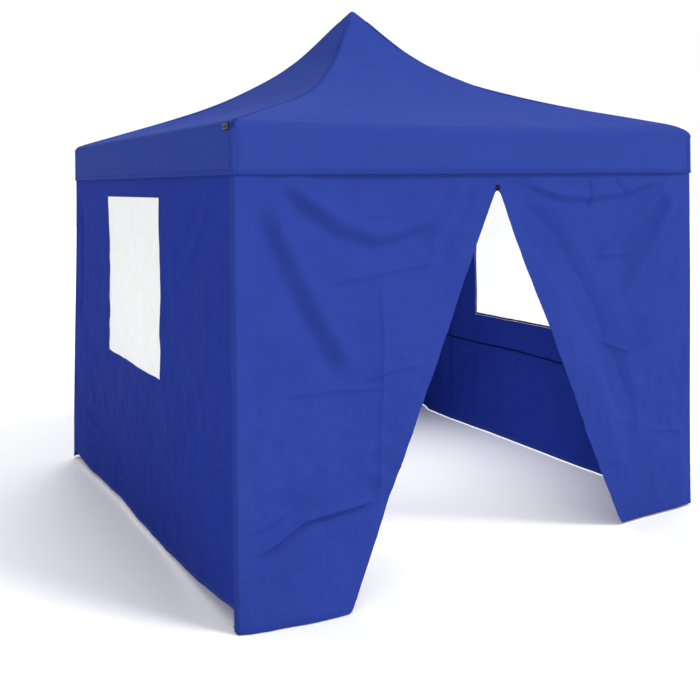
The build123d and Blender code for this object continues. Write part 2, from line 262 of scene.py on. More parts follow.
def ring_faces(rings, m, closed):
    """Quads between rings of m points each; closed joins the last ring to the first."""
    return [[i * m + k, (i + 1) % rings * m + k, (i + 1) % rings * m + (k + 1) % m, i * m + (k + 1) % m]
            for i in range(rings if closed else rings - 1) for k in range(m)]


def distances(line):
    """How far along the line each of its points is."""
    return np.concatenate([[0], np.cumsum(np.linalg.norm(np.diff(line, axis=0), axis=1))])


def tape(name, line, normals, width, thick, material):
    """Flat band sewn along a line of points on a surface, with bevelled edges, sunk a little into it."""
    sink = 0.0004
    along = unit(np.gradient(line, axis=0))
    across = unit(np.cross(normals, along))
    bevel = min(thick, width * 0.15)
    section = [(-width / 2, -sink), (-width / 2, thick * 0.4), (-width / 2 + bevel, thick),
               (width / 2 - bevel, thick), (width / 2, thick * 0.4), (width / 2, -sink)]
    verts = np.stack([line + across * s + normals * h for s, h in section], 1)
    far = distances(line)
    uv = np.stack([np.stack([far, np.full(len(far), s)], -1) for s, _ in section], 1)
    n, m = verts.shape[:2]
    last = (n - 1) * m
    ends = [[0, 1, 4, 5], [1, 2, 3, 4],
            [last + 5, last + 4, last + 1, last], [last + 4, last + 3, last + 2, last + 1]]
    faces = ring_faces(n, m, False) + ends
    return new_object(name, verts.reshape(-1, 3), faces, uv.reshape(-1, 2), material)


def tube(name, line, radius, material, sides):
    """Round bar, coil or bead along a line of points, with a cone of faces closing each end."""
    along = unit(np.gradient(line, axis=0))
    guide = np.where(np.abs(along @ UP)[:, None] > 0.9, np.array([1.0, 0, 0]), UP)
    one = unit(np.cross(along, guide))
    two = np.cross(along, one)
    angles = np.linspace(0, 2 * np.pi, sides, endpoint=False)
    verts = np.stack([line + radius * (one * math.cos(t) + two * math.sin(t)) for t in angles], 1)
    far = distances(line)
    uv = np.stack([np.stack([far, np.full(len(far), radius * t)], -1) for t in angles], 1)
    verts = np.concatenate([verts.reshape(-1, 3), line[:1], line[-1:]])
    uv = np.concatenate([uv.reshape(-1, 2), [[0, 0]], [[far[-1], 0]]])
    n = len(line)
    tip, end = n * sides, (n - 1) * sides
    faces = [[a, d, c, b] for a, b, c, d in ring_faces(n, sides, False)]
    faces += [[tip, (k + 1) % sides, k] for k in range(sides)]
    faces += [[tip + 1, end + k, end + (k + 1) % sides] for k in range(sides)]
    mesh = bpy.data.meshes.new(name)
    mesh.from_pydata([tuple(v) for v in verts], [], faces)
    layer = mesh.uv_layers.new(name="cloth")
    for loop in mesh.loops:
        layer.data[loop.index].uv = uv[loop.vertex_index]
    mesh.polygons.foreach_set("use_smooth", np.ones(len(mesh.polygons), bool))
    mesh.materials.append(material)
    return linked(name, mesh)


# -------- materials
def material(name):
    made = bpy.data.materials.new(name)
    made.use_nodes = True
    tree = made.node_tree
    return made, tree, tree.nodes["Principled BSDF"]


def node(tree, kind, inputs=(), **settings):
    made = tree.nodes.new(kind)
    for key, value in settings.items():
        setattr(made, key, value)
    for key, value in dict(inputs).items():
        if isinstance(value, bpy.types.NodeSocket):
            tree.links.new(value, made.inputs[key])
        else:
            made.inputs[key].default_value = value
    return made


def maths(tree, operation, a, b=0.0):
    return node(tree, "ShaderNodeMath", {0: a, 1: b}, operation=operation).outputs[0]


def ramp(tree, value, low, high, to_low=0.0, to_high=1.0):
    return node(tree, "ShaderNodeMapRange", {"Value": value, "From Min": low, "From Max": high,
                                             "To Min": to_low, "To Max": to_high}).outputs[0]


def mixed(tree, share, a, b):
    mix = node(tree, "ShaderNodeMix", data_type="RGBA")
    for socket, value in ((mix.inputs[0], share), (mix.inputs[6], a), (mix.inputs[7], b)):
        if isinstance(value, bpy.types.NodeSocket):
            tree.links.new(value, socket)
        else:
            socket.default_value = value if isinstance(value, float) else (*value, 1)
    return mix.outputs[2]


def bumped(tree, height, strength, distance, below=None):
    inputs = {"Height": height, "Strength": strength, "Distance": distance}
    if below is not None:
        inputs["Normal"] = below
    return node(tree, "ShaderNodeBump", inputs).outputs[0]


def link_surface(tree, bsdf, look):
    for socket, value in zip(("Base Color", "Roughness", "Normal"), look):
        tree.links.new(value, bsdf.inputs[socket])


def uv_of(tree):
    return node(tree, "ShaderNodeUVMap", uv_map="cloth").outputs[0]


def object_coords(tree):
    return node(tree, "ShaderNodeTexCoord").outputs["Object"]


def noise(tree, coords, scale, detail, **more):
    return node(tree, "ShaderNodeTexNoise",
                {"Vector": coords, "Scale": scale, "Detail": detail, **more}).outputs[0]


def bands(tree, uv, period, direction):
    """Waves of light and dark, period metres apart."""
    inputs = {"Vector": uv, "Scale": 0.314 / period}
    return node(tree, "ShaderNodeTexWave", inputs, bands_direction=direction).outputs[1]


THREAD_PITCH = 0.0011


def cloth_material(name, colour, shade):
    """Coated polyester Oxford cloth: woven threads, pressed wrinkles, faintly cloudy dye, gloss, and paler
    lines along the wrinkles that are partly wear and partly a painted sheen.
    """
    rough = 0.68
    made, tree, bsdf = material(name)
    uv = uv_of(tree)
    cloud = noise(tree, uv, 2.2, 5, Roughness=0.6)
    lines = noise(tree, uv, 9, 7, Roughness=0.55, Distortion=0.5)
    folds = maths(tree, "ABSOLUTE", maths(tree, "SUBTRACT", lines, 0.5))
    threads = maths(tree, "MULTIPLY", bands(tree, uv, THREAD_PITCH, "X"), bands(tree, uv, THREAD_PITCH, "Y"))
    tint = mixed(tree, ramp(tree, cloud, 0.3, 0.7), shade, colour)
    # Paler along the wrinkle lines: partly wear of the coating, partly a painted sheen on the creases.
    paler_wear_and_sheen = tuple(min(1, c * 1.5 + 0.01) for c in colour)
    wear_and_crease_sheen = mixed(tree, ramp(tree, folds, 0.0, 0.03, 0.03, 0.0), tint, paler_wear_and_sheen)
    woven = mixed(tree, ramp(tree, threads, 0.0, 1.0, 0.0, 0.14), wear_and_crease_sheen, shade)
    soft = bumped(tree, folds, 0.28, 0.006)
    link_surface(tree, bsdf, (woven, ramp(tree, cloud, 0.3, 0.7, rough - 0.06, rough + 0.08),
                              bumped(tree, threads, 0.25, 0.0003, soft)))
    bsdf.inputs["Specular IOR Level"].default_value = 0.012
    return made


def tape_material(name, colour, thread, width, rough=0.7):
    """Ribbed tape with a row of stitches along each edge."""
    rib_pitch, stitch_pitch, stitch_inset = 0.0014, 0.0045, 0.0025
    made, tree, bsdf = material(name)
    uv = uv_of(tree)
    parts = node(tree, "ShaderNodeSeparateXYZ", {0: uv})
    cloud = noise(tree, uv, 60, 4)
    along = maths(tree, "FRACT", maths(tree, "DIVIDE", parts.outputs[0], stitch_pitch))
    across = maths(tree, "SUBTRACT", maths(tree, "ABSOLUTE", parts.outputs[1]), width / 2 - stitch_inset)
    row = ramp(tree, maths(tree, "ABSOLUTE", across), 0.0004, 0.0009, 1.0, 0.0)
    stitch = maths(tree, "MULTIPLY", maths(tree, "LESS_THAN", along, 0.7), row)
    tint = mixed(tree, ramp(tree, cloud, 0.3, 0.7), tuple(c * 0.85 for c in colour), colour)
    ribbed = bumped(tree, bands(tree, uv, rib_pitch, "X"), 0.3, 0.0003)
    link_surface(tree, bsdf, (mixed(tree, stitch, tint, thread),
                              ramp(tree, cloud, 0.3, 0.7, rough - 0.08, rough + 0.08),
                              bumped(tree, stitch, 0.6, 0.0006, ribbed)))
    bsdf.inputs["Specular IOR Level"].default_value = 0.02
    return made


def film_material(name):
    """Milky soft PVC: slightly cloudy, glossy, with shallow ripples and a painted glow that keeps it white.
    """
    made, tree, bsdf = material(name)
    cloud = noise(tree, uv_of(tree), 3, 4)
    tint = mixed(tree, ramp(tree, cloud, 0.3, 0.7), (0.93, 0.94, 0.91), (0.96, 0.965, 0.94))
    gloss = ramp(tree, cloud, 0.3, 0.7, 0.22, 0.34)
    link_surface(tree, bsdf, (tint, gloss, bumped(tree, cloud, 0.25, 0.004)))
    # Painted glow: the film gives off a little light of its own to stay white.
    bsdf.inputs["Emission Color"].default_value = (1, 1, 0.98, 1)
    bsdf.inputs["Emission Strength"].default_value = 0.17
    through = node(tree, "ShaderNodeBsdfTranslucent", {"Color": (0.98, 0.98, 0.96, 1)})
    mix = node(tree, "ShaderNodeMixShader", {0: 0.58, 1: bsdf.outputs[0], 2: through.outputs[0]})
    tree.links.new(mix.outputs[0], tree.nodes["Material Output"].inputs[0])
    return made


def plastic_nodes(tree, coords):
    """Colour, roughness and normal of satin moulded nylon."""
    grain, cloud = noise(tree, coords, 450, 3), noise(tree, coords, 25, 4)
    colour = mixed(tree, ramp(tree, cloud, 0.3, 0.7), (0.012, 0.012, 0.014), (0.026, 0.026, 0.029))
    return colour, ramp(tree, cloud, 0.3, 0.7, 0.38, 0.52), bumped(tree, grain, 0.25, 0.0004)


def steel_nodes(tree, coords):
    """Colour, roughness and normal of grey powder-coated steel with scuffs."""
    peel, cloud = noise(tree, coords, 260, 2), noise(tree, coords, 9, 6)
    stretch = node(tree, "ShaderNodeMapping", {"Vector": coords, "Scale": (160, 160, 12)}).outputs[0]
    scuff = noise(tree, stretch, 1, 5)
    base = mixed(tree, ramp(tree, cloud, 0.3, 0.7), (0.60, 0.61, 0.62), (0.70, 0.71, 0.72))
    colour = mixed(tree, ramp(tree, scuff, 0.62, 0.7, 0.0, 0.5), base, (0.36, 0.36, 0.37))
    return colour, ramp(tree, scuff, 0.4, 0.7, 0.34, 0.5), bumped(tree, peel, 0.12, 0.0004)


def simple_material(name, nodes_of, metallic=0.0, coat=0.0):
    made, tree, bsdf = material(name)
    link_surface(tree, bsdf, nodes_of(tree, object_coords(tree)))
    bsdf.inputs["Metallic"].default_value = metallic
    bsdf.inputs["Coat Weight"].default_value = coat
    return made


HEAD_FROM = 2.2045
COLLAR_FROM, COLLAR_TO = 0.7145, 0.7855
FOOT_TO = 0.0055


def leg_material():
    """Powder-coated tube, with a moulded plastic head and lock collar where the frame has them."""
    made, tree, bsdf = material("leg_tube_and_brackets")
    coords = object_coords(tree)
    z = node(tree, "ShaderNodeSeparateXYZ", {0: coords}).outputs[2]
    head = maths(tree, "GREATER_THAN", z, HEAD_FROM)
    above = maths(tree, "GREATER_THAN", z, COLLAR_FROM)
    collar = maths(tree, "MULTIPLY", above, maths(tree, "LESS_THAN", z, COLLAR_TO))
    share = maths(tree, "MAXIMUM", head, collar)
    steel, plastic = steel_nodes(tree, coords), plastic_nodes(tree, coords)
    both = node(tree, "ShaderNodeMix", {0: share, 2: steel[1], 3: plastic[1]}, data_type="FLOAT")
    link_surface(tree, bsdf, (mixed(tree, share, steel[0], plastic[0]), both.outputs[0], steel[2]))
    return made


def foot_material():
    """Powder-coated inner tube on a zinc-plated foot, scraped near the ground."""
    made, tree, bsdf = material("inner_tube_and_foot")
    coords = object_coords(tree)
    z = node(tree, "ShaderNodeSeparateXYZ", {0: coords}).outputs[2]
    share = maths(tree, "LESS_THAN", z, FOOT_TO)
    steel = steel_nodes(tree, coords)
    grains = node(tree, "ShaderNodeTexVoronoi", {"Vector": coords, "Scale": 120}).outputs[0]
    plated = mixed(tree, ramp(tree, grains, 0.1, 0.6), (0.42, 0.43, 0.45), (0.55, 0.56, 0.58))
    grime = noise(tree, coords, 40, 5)
    dirt = maths(tree, "MULTIPLY", ramp(tree, z, 0.0, 0.08, 0.5, 0.0), ramp(tree, grime, 0.4, 0.7))
    coloured = mixed(tree, share, steel[0], plated)
    link_surface(tree, bsdf, (mixed(tree, dirt, coloured, (0.16, 0.13, 0.10)), *steel[1:]))
    return made


# The front and roof copies of the one blue cloth are paler than the walls' copy: painted light on the front
# panels, door flaps, roof and valances, which catch more light.
wall_oxford = cloth_material("blue_wall_oxford", (0.0150, 0.0335, 0.258), (0.0128, 0.0295, 0.238))
front_cloth_painted_lit = cloth_material("blue_front_cloth_painted_lit", (0.0240, 0.0460, 0.262), (0.0205, 0.0400, 0.242))
roof_cloth_painted_lit = cloth_material("blue_roof_cloth_painted_lit", (0.0255, 0.0500, 0.262), (0.0225, 0.0440, 0.242))
seam_blue = tape_material("blue_seam_tape", (0.0150, 0.0330, 0.225), (0.025, 0.05, 0.32), 0.014)
hem_blue = tape_material("blue_hem", (0.0215, 0.0430, 0.258), (0.025, 0.05, 0.32), 0.026)
webbing_blue = tape_material("blue_webbing", (0.0235, 0.0460, 0.252), (0.025, 0.05, 0.32), 0.025, rough=0.8)
inner_seam = tape_material("dark_inner_seam", (0.004, 0.009, 0.075), (0.008, 0.016, 0.11), 0.014)
webbing_black = tape_material("black_webbing", (0.014, 0.014, 0.017), (0.03, 0.03, 0.035), 0.024, rough=0.8)
zip_tape = tape_material("zip_tape", (0.012, 0.014, 0.04), (0.02, 0.02, 0.05), 0.016)
hook_tape = tape_material("hook_and_loop", (0.010, 0.012, 0.035), (0.02, 0.02, 0.05), 0.025, rough=0.9)
film = film_material("milky_film")
steel_coat = simple_material("grey_powder_coat", steel_nodes, coat=0.1)
black_nylon = simple_material("black_nylon", plastic_nodes)
leg_coat, foot_coat = leg_material(), foot_material()


def look_of(name, slot):
    """Material of a CAD node."""
    if name.endswith("leg_outer"):
        return leg_coat
    if name.endswith("leg_inner"):
        return foot_coat
    return black_nylon if slot == "black_plastic" else steel_coat


for name, obj in frame["nodes"].items():
    slot = next(s["material_slot"] for s in frame["record"]["subparts"] if s["node"] == name)
    look = look_of(name, slot)
    if not obj.data.materials:
        obj.data.materials.append(look)
    for place in obj.material_slots:
        place.link = "OBJECT"
        place.material = look


# -------- plan of a side, with rounded corners
def plan(side, a, half, radius, wrap=False):
    """Point at a along a side of that half length, and its outward normal; wrap goes on round the corner."""
    t, n = SIDES[side]
    over = np.clip(np.abs(a) - (half - radius), 0, None)
    phi = np.clip(over / radius, 0, np.pi / 2 if wrap else np.pi / 4)
    back = np.clip(over - radius * np.pi / 2, 0, None) if wrap else 0 * over
    sign = np.sign(a)
    along = sign * (np.minimum(np.abs(a), half - radius) + radius * np.sin(phi))
    out = half - radius + radius * np.cos(phi) - back
    point = along[..., None] * t + out[..., None] * n
    normal = (sign * np.sin(phi))[..., None] * t + np.cos(phi)[..., None] * n
    return point, normal


def steps(step, *stops):
    """Values through all the stops, about step apart."""
    parts = [np.linspace(a, b, max(2, int(round((b - a) / step)) + 1))[:-1]
             for a, b in zip(stops[:-1], stops[1:])]
    return np.concatenate(parts + [[stops[-1]]])


def drawn(point):
    """Point after the cloth's corner pulls: the back left splays out, the front right stands proud."""
    reach = 0.9
    x, y, z = point[..., 0], point[..., 1], point[..., 2]
    by_back_left = smooth(1 - np.hypot(x + HALF, y - HALF) / reach)
    by_front_right = smooth(1 - np.hypot(x - HALF, y + HALF) / reach)
    low = smooth((VALANCE_LOW + 0.02 - z) / VALANCE_LOW)
    out_left = by_back_left * (0.006 + 0.036 * low)
    out_right = by_front_right * (0.004 + 0.018 * smooth((z - 0.3) / 1.3))
    up = by_front_right * 0.012 * smooth((z - VALANCE_LOW) / (EAVE - VALANCE_LOW))
    return point + np.stack([out_right - out_left, 0 * x, up], -1)


# -------- how pieces move
def on_side(obj, side, replaces=()):
    """obj rides with a side's near leg."""
    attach(obj, HELD_BY[side])
    if replaces:
        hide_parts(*replaces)
    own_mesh(obj)
    return obj


def on_roof(obj, side, part, replaces=()):
    """obj rides on the truss bar under its half of a roof panel."""
    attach(obj, f"{side}_near_down_bar" if part == "near" else f"{side}_far_up_bar")
    if replaces:
        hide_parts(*replaces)
    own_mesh(obj)
    return obj


# -------- roof
ROLL_R = 0.045


def roof_profile():
    """Half width and height down the roof from the peak, and over the soft roll at the eave."""
    s = np.concatenate([[0.004], np.linspace(0.010, 1 - 0.0320 / HALF, 126)])
    h = s * HALF
    z = EAVE + (PEAK - EAVE) * (0.55 * (1 - s) + 0.45 * np.exp(-((s / 0.2) ** 1.35)))
    slope = math.atan2(z[-2] - z[-1], h[-1] - h[-2])
    turn = np.linspace(slope, math.pi / 2, 10)[1:]
    centre = (h[-1] - ROLL_R * math.sin(slope), z[-1] - ROLL_R * math.cos(slope))
    fit = (HALF - centre[0]) / ROLL_R
    h = np.concatenate([h, centre[0] + ROLL_R * fit * np.sin(turn)])
    z = np.concatenate([z, centre[1] + ROLL_R * np.cos(turn)])
    return h, z


PROFILE_H, PROFILE_Z = roof_profile()
ROOF_END = PROFILE_Z[-1]
PROFILE_R = np.concatenate([[0], np.cumsum(np.hypot(np.diff(PROFILE_H), np.diff(PROFILE_Z)))])


def hump(s, middle, width):
    return np.exp(-(((s - middle) / width) ** 2))


FRONT_HIPS = {("front", -1): "front_left", ("left", 1): "front_left",
              ("front", 1): "front_right", ("right", -1): "front_right"}


def hip_shift(side, end, s):
    """How far the hip at that end of the side hangs below or stands above the even roof curve."""
    corner = FRONT_HIPS.get((side, end))
    if corner == "front_left":
        return -0.034 * hump(s, 0.5, 0.27) + 0.012 * hump(s, 0.13, 0.05)
    if corner == "front_right":
        return 0.018 * smooth((s - 0.2) / 0.3) + 0.009 * hump(s, 0.25, 0.12)
    return 0.003 + 0.014 * hump(s, 0.32, 0.14)


def roof_points(side, q, r):
    """Points on a roof panel: q from hip to hip, -1 to 1, and r metres down the slope from the peak."""
    h, z = np.interp(r, PROFILE_R, PROFILE_H), np.interp(r, PROFILE_R, PROFILE_Z)
    radius = np.minimum(ROOF_CORNER_R, 0.45 * h)
    length = h - radius + radius * np.pi / 4
    point, _ = plan(side, q * length, h, radius)
    s = h / HALF
    seed = side_seed(side)
    inside = 1 - q ** 2
    sag = -0.030 * inside * hump(s, 0.55, 0.3)
    near, far = smooth((1 - q) / 2), smooth((1 + q) / 2)
    lift = hip_shift(side, -1, s) * near ** 2 + hip_shift(side, 1, s) * far ** 2
    ease = smooth((1 - s) / 0.06) * smooth(s / 0.08)
    x, y = q * h + 2, r + 0.4
    rough = waves(seed, BROAD, x, y) * 0.0035 + waves(seed, MEDIUM, x, y) * 0.0010
    rough = rough + crumple(seed, MEDIUM, x, y, 0.0009)
    rough = rough * smooth(inside / 0.06) * ease
    over = smooth((1 - s) / 0.05)
    return drawn(point + ((sag + lift) * over + rough + z)[..., None] * UP)


def roof_panel(side):
    """The two halves of a roof slope, and the seam tape down each of its hips."""
    middle, top = 120, 6
    q = np.linspace(-1, 1, 2 * middle + 1)
    Q, R = np.meshgrid(q, PROFILE_R, indexing="ij")
    points = roof_points(side, Q, R)
    normals = -grid_normals(points)
    h = np.interp(R, PROFILE_R, PROFILE_H)
    uv = np.stack([Q * h, R], -1)
    for part, sign in (("near", NEAR[side]), ("far", -NEAR[side])):
        rows = slice(0, middle + 1) if sign < 0 else slice(middle, 2 * middle + 1)
        p, n, w = points[rows], normals[rows], uv[rows]
        obj = cloth(f"roof_{side}_{part}", p[:, ::-1], w[:, ::-1], roof_cloth_painted_lit, n[:, ::-1])
        on_roof(obj, side, part, replaces=("canopy",) if (side, part) == ("front", "near") else ())
        reach = np.maximum(PROFILE_H, 0.02)[top:]
        q_line = sign * (1 - 0.0075 / reach)
        line = roof_points(side, q_line, PROFILE_R[top:])
        beside = roof_points(side, q_line - sign * 0.004 / reach, PROFILE_R[top:])
        down = unit(np.gradient(line, axis=0))
        up = unit(np.cross(line - beside, down)) * sign
        up = np.where((up @ UP)[:, None] < 0, -up, up)
        on_roof(tape(f"hip_seam_{side}_{part}", line, up, 0.013, 0.0011, seam_blue), side, part)


for side in SIDES:
    roof_panel(side)


# -------- valances
VALANCE_TOP = ROOF_END


def valance_shift(side, a, z):
    """How far a valance hangs out beyond its straight plane."""
    seed = side_seed(side)
    low = smooth((VALANCE_TOP - z) / 0.2)
    inside = smooth((HALF - 0.02 - np.abs(a)) / 0.25)
    wave = 0.0080 + 0.0022 * waves(seed, BROAD, a + 2, z + 1) + 0.0008 * waves(seed, MEDIUM, a + 2, z)
    wave = wave + crumple(seed, FINE, a + 2, z + 2, 0.0005)
    return np.clip(wave, 0, 0.014) * low * inside


def valance_points(side, a, z):
    point, normal = plan(side, a, HALF, ROOF_CORNER_R)
    return drawn(point + normal * valance_shift(side, a, z)[..., None] + z[..., None] * UP), normal


def valance(side):
    """The band hanging from the eave, with its hem and the webbing at both ends."""
    reach = HALF - ROOF_CORNER_R + ROOF_CORNER_R * np.pi / 4
    webbing_in = 0.030
    a = steps(GRID, -reach, -HALF + webbing_in, HALF - webbing_in, reach)
    corner = HALF - ROOF_CORNER_R + np.linspace(0, 1, 7) * (reach - HALF + ROOF_CORNER_R)
    a = np.unique(np.concatenate([a, corner, -corner]))
    z = steps(GRID, VALANCE_LOW, VALANCE_TOP)
    A, Z = np.meshgrid(a, z, indexing="ij")
    points, _ = valance_points(side, A, Z)
    obj = cloth(f"valance_{side}", points, np.stack([A, Z], -1), roof_cloth_painted_lit)
    on_side(obj, side)
    line_a = a[::2]
    line, normal = valance_points(side, line_a, np.full(len(line_a), VALANCE_LOW + 0.0125))
    on_side(tape(f"valance_hem_{side}", line, normal, 0.024, 0.0009, hem_blue), side)
    for end in (-1, 1):
        z_line = np.linspace(VALANCE_LOW + 0.003, VALANCE_TOP - 0.002, 16)
        line, normal = valance_points(side, np.full(16, end * (HALF - webbing_in)), z_line)
        name = f"valance_edge_{side}_{'right' if end > 0 else 'left'}"
        on_side(tape(name, line, normal, 0.025, 0.0012, webbing_blue), side)


for side in SIDES:
    valance(side)


# -------- walls
WRAP = 0.028
WRAP_LINE = WALL + 0.0015


def front_folds(a, z):
    """Swags, creases and pressed lines of the two front panels, as (along, up) points in metres.

    Many of these points were picked on the photo's creases and projected onto the wall by another program.
    """
    d = tuck(a, z, [(-1.29, 2.01), (-1.14, 1.89), (-0.96, 1.77),
                    (-0.76, 1.70), (-0.59, 1.73), (-0.37, 1.81)], 0.050, 0.0080)
    d += crease(a, z, [(-0.87, 1.84), (-0.64, 1.82), (-0.37, 1.87)], 0.016, 0.0044)
    d += tuck(a, z, [(-1.37, 1.94), (-1.24, 1.64), (-1.12, 1.40), (-0.91, 1.05)], 0.060, 0.0080)
    d += tuck(a, z, [(-0.18, 2.00), (-0.30, 1.78), (-0.42, 1.58)], 0.045, -0.0050)
    d += crease(a, z, [(-1.04, 1.52), (-0.76, 1.55), (-0.38, 1.59)], 0.012, 0.0054)
    d += crease(a, z, [(-1.25, 1.02), (-0.99, 1.02), (-0.68, 0.99)], 0.011, 0.0056)
    d += crease(a, z, [(-0.85, 1.03), (-0.71, 1.07), (-0.48, 1.09)], 0.011, 0.0060)
    d += crease(a, z, [(-0.73, 1.58), (-0.72, 1.22), (-0.73, 0.89), (-0.75, 0.40)], 0.011, 0.0046)
    d += crease(a, z, [(-1.46, 0.43), (-1.37, 0.45), (-1.22, 0.50)], 0.012, 0.0064)
    d += tuck(a, z, [(-1.42, 0.30), (-1.16, 0.43), (-0.75, 0.45)], 0.018, 0.0062)
    d += ridge(a, z, [(0.10, 2.02), (0.25, 1.78), (0.44, 1.57), (0.69, 1.18), (0.90, 0.78), (1.02, 0.4)],
               0.085, -0.0130)
    d += ridge(a, z, [(1.34, 2.00), (1.13, 1.83), (0.91, 1.68), (0.72, 1.55)], 0.040, 0.0075)
    d += ridge(a, z, [(1.38, 1.95), (1.19, 1.65), (0.90, 1.31)], 0.042, 0.0085)
    d += ridge(a, z, [(1.30, 1.92), (1.10, 1.70), (0.86, 1.48)], 0.040, -0.0060)
    d += crease(a, z, [(0.70, 1.56), (0.88, 1.57), (1.07, 1.56)], 0.012, 0.0052)
    d += crease(a, z, [(0.70, 1.09), (0.95, 1.00), (1.33, 1.10)], 0.012, 0.0066)
    d += crease(a, z, [(1.11, 0.51), (1.28, 0.49), (1.44, 0.47)], 0.012, 0.0046)
    d += tuck(a, z, [(0.13, 2.00), (0.27, 1.94), (0.47, 1.89), (0.67, 1.88), (0.97, 1.91), (1.31, 2.01)],
              0.030, 0.0050)
    d += ridge(a, z, [(0.67, 1.99), (0.66, 1.91), (0.67, 1.83)], 0.016, -0.0040)
    d += ridge(a, z, [(0.86, 2.00), (0.91, 1.94), (0.95, 1.90)], 0.022, -0.0040)
    return d


def side_folds(side, a, z):
    """Folds of the other walls; a runs to the right seen from outside."""
    if side == "left":
        d = ridge(a, z, [(1.20, 1.89), (0.84, 1.56), (0.56, 1.40)], 0.030, 0.0060)
        d += ridge(a, z, [(1.16, 1.98), (0.80, 1.68), (0.60, 1.60)], 0.045, -0.0050)
        d += ridge(a, z, [(-1.25, 0.42), (-0.90, 0.33), (-0.50, 0.29)], 0.030, 0.0060)
        d += ridge(a, z, [(-1.35, 1.95), (-1.28, 1.5), (-1.33, 1.0)], 0.050, -0.0060)
        return d
    if side == "right":
        d = ridge(a, z, [(-1.20, 1.95), (-0.90, 1.60), (-0.62, 1.45)], 0.035, 0.0060)
        for place, height in ((-0.7, 0.0050), (-0.35, -0.0045), (0.1, 0.0045),
                              (0.52, -0.0050), (0.95, 0.0055), (1.25, -0.004)):
            d = d + ridge(a, z, [(place, 0.86), (place + 0.03, 0.45), (place - 0.02, 0.03)], 0.050, height)
        return d
    d = tuck(a, z, [(-1.35, 2.00), (-0.95, 1.80), (-0.4, 1.74), (0.2, 1.80), (0.7, 1.97)], 0.060, 0.0070)
    d += ridge(a, z, [(1.38, 1.95), (1.15, 1.55), (0.80, 1.20)], 0.060, 0.0080)
    d += ridge(a, z, [(-1.35, 1.85), (-1.15, 1.35), (-0.95, 0.90)], 0.060, -0.0070)
    for height in (0.52, 1.04, 1.56):
        d += crease(a, z, [(-1.30, height), (0.0, height + 0.01), (1.30, height - 0.01)], 0.012, 0.0022)
    for place in (-0.75, 0.0, 0.75):
        d += crease(a, z, [(place, 0.10), (place + 0.01, 1.0), (place, 2.0)], 0.012, 0.0022)
    return d


def left_flare(a, z):
    """The left front panel's hem flares out over the ground."""
    out = np.interp(a, [-1.49, -1.43, -1.36, -1.18, -1.04, -0.80, 0],
                    [0.0, 0.027, 0.046, 0.076, 0.093, 0.096, 0.0])
    return out * np.exp(-np.clip(z, 0, None) / 0.20)


FOLD_DEPTH = 2.4
HELD_FROM = 1.96


def wall_shift(side, a, z):
    """How far a wall hangs outside its straight plane, kept clear of the legs, trusses and valance."""
    seed = side_seed(side)
    folds = front_folds(a, z) if side == "front" else side_folds(side, a, z)
    lower = smooth((2.0 - z) / 0.35)
    soft = waves(seed, BROAD, a + 2, z) * 0.0040 + waves(seed, MEDIUM, a + 2, z + 1) * 0.0013
    press = crumple(seed, MEDIUM, a + 2, z + 0.3, 0.0034) + crumple(seed, FINE, a + 2, z + 0.7, 0.0016)
    busy = 0.55 + 0.9 * hump(z, 0.65, 0.4)
    shift = FOLD_DEPTH * folds + soft * lower + press * busy * (0.35 + 0.65 * lower)
    low = -0.026 + 0.016 * smooth((z - 1.85) / 0.08)
    shift = np.clip(shift, low, 0.030)
    shift = shift * smooth((WALL - 0.012 - np.abs(a)) / 0.10)
    held = smooth((z - HELD_FROM) / 0.03)
    top = np.where(z > HELD_FROM, np.minimum(shift, 0.0038), shift)
    shift = top * held + shift * (1 - held)
    if side == "right":
        return shift - 0.065 * smooth((a + 1.38) / 0.5) * smooth((1.38 - a) / 0.22) * np.exp(-z / 0.22)
    return shift + (left_flare(a, z) if side == "front" else 0)


def wall_points(side, a, z, inset=0.0):
    wrap = side in ("front", "back")
    point, normal = plan(side, a, WRAP_LINE if wrap else WALL, CORNER_R, wrap=wrap)
    return drawn(point + normal * (wall_shift(side, a, z) - inset)[..., None] + z[..., None] * UP)


def surface_line(side, a, z, outside=True):
    """Points on a wall's outer or inner face, and normals pointing away from the cloth there."""
    e = 0.004
    point = wall_points(side, a, z)
    du = wall_points(side, a + e, z) - wall_points(side, a - e, z)
    dv = wall_points(side, a, z + e) - wall_points(side, a, z - e)
    normal = unit(np.cross(du, dv))
    return (point, normal) if outside else (point - normal * THICK, -normal)


def wall_tape(name, side, a, z, width, thick, look, outside=True):
    line, normal = surface_line(side, a, z, outside)
    return on_side(tape(name, line, normal, width, thick, look), side)


def side_reach(side):
    arc = CORNER_R * np.pi / 4
    if side in ("front", "back"):
        return WRAP_LINE - CORNER_R + CORNER_R * np.pi / 2 + WRAP
    return WALL - CORNER_R + arc


def corner_steps(side):
    """Fine steps round the corner and over what laps past it."""
    reach, start = side_reach(side), (WRAP_LINE if side in ("front", "back") else WALL) - CORNER_R
    turned = min(reach, start + CORNER_R * np.pi / 2)
    return np.unique(np.concatenate([np.linspace(start, turned, 8), np.linspace(turned, reach, 4)]))


def hem_height(side, a):
    if side == "left":
        return np.interp(a, [-1.5, -1.05, 0.5, 0.9, 1.25, 1.5], [0.060, 0.026, 0.019, 0.042, 0.073, 0.096])
    return np.full(np.shape(a), 0.004 if side == "right" else 0.012)


HEM_WIDTH, HEM_THICK = 0.026, 0.0010
HOOK_WIDTH = 0.025


def top_tapes(prefix, side, line):
    """Hook tape outside and a seam inside, along the top edge of a wall or panel."""
    high = np.full(len(line), WALL_TOP - 0.018)
    wall_tape(f"{prefix}_hook_tape", side, line, high, HOOK_WIDTH, 0.0016, hook_tape)
    wall_tape(f"{prefix}_top_seam", side, line, high, HOOK_WIDTH, HEM_THICK, hem_blue, outside=False)


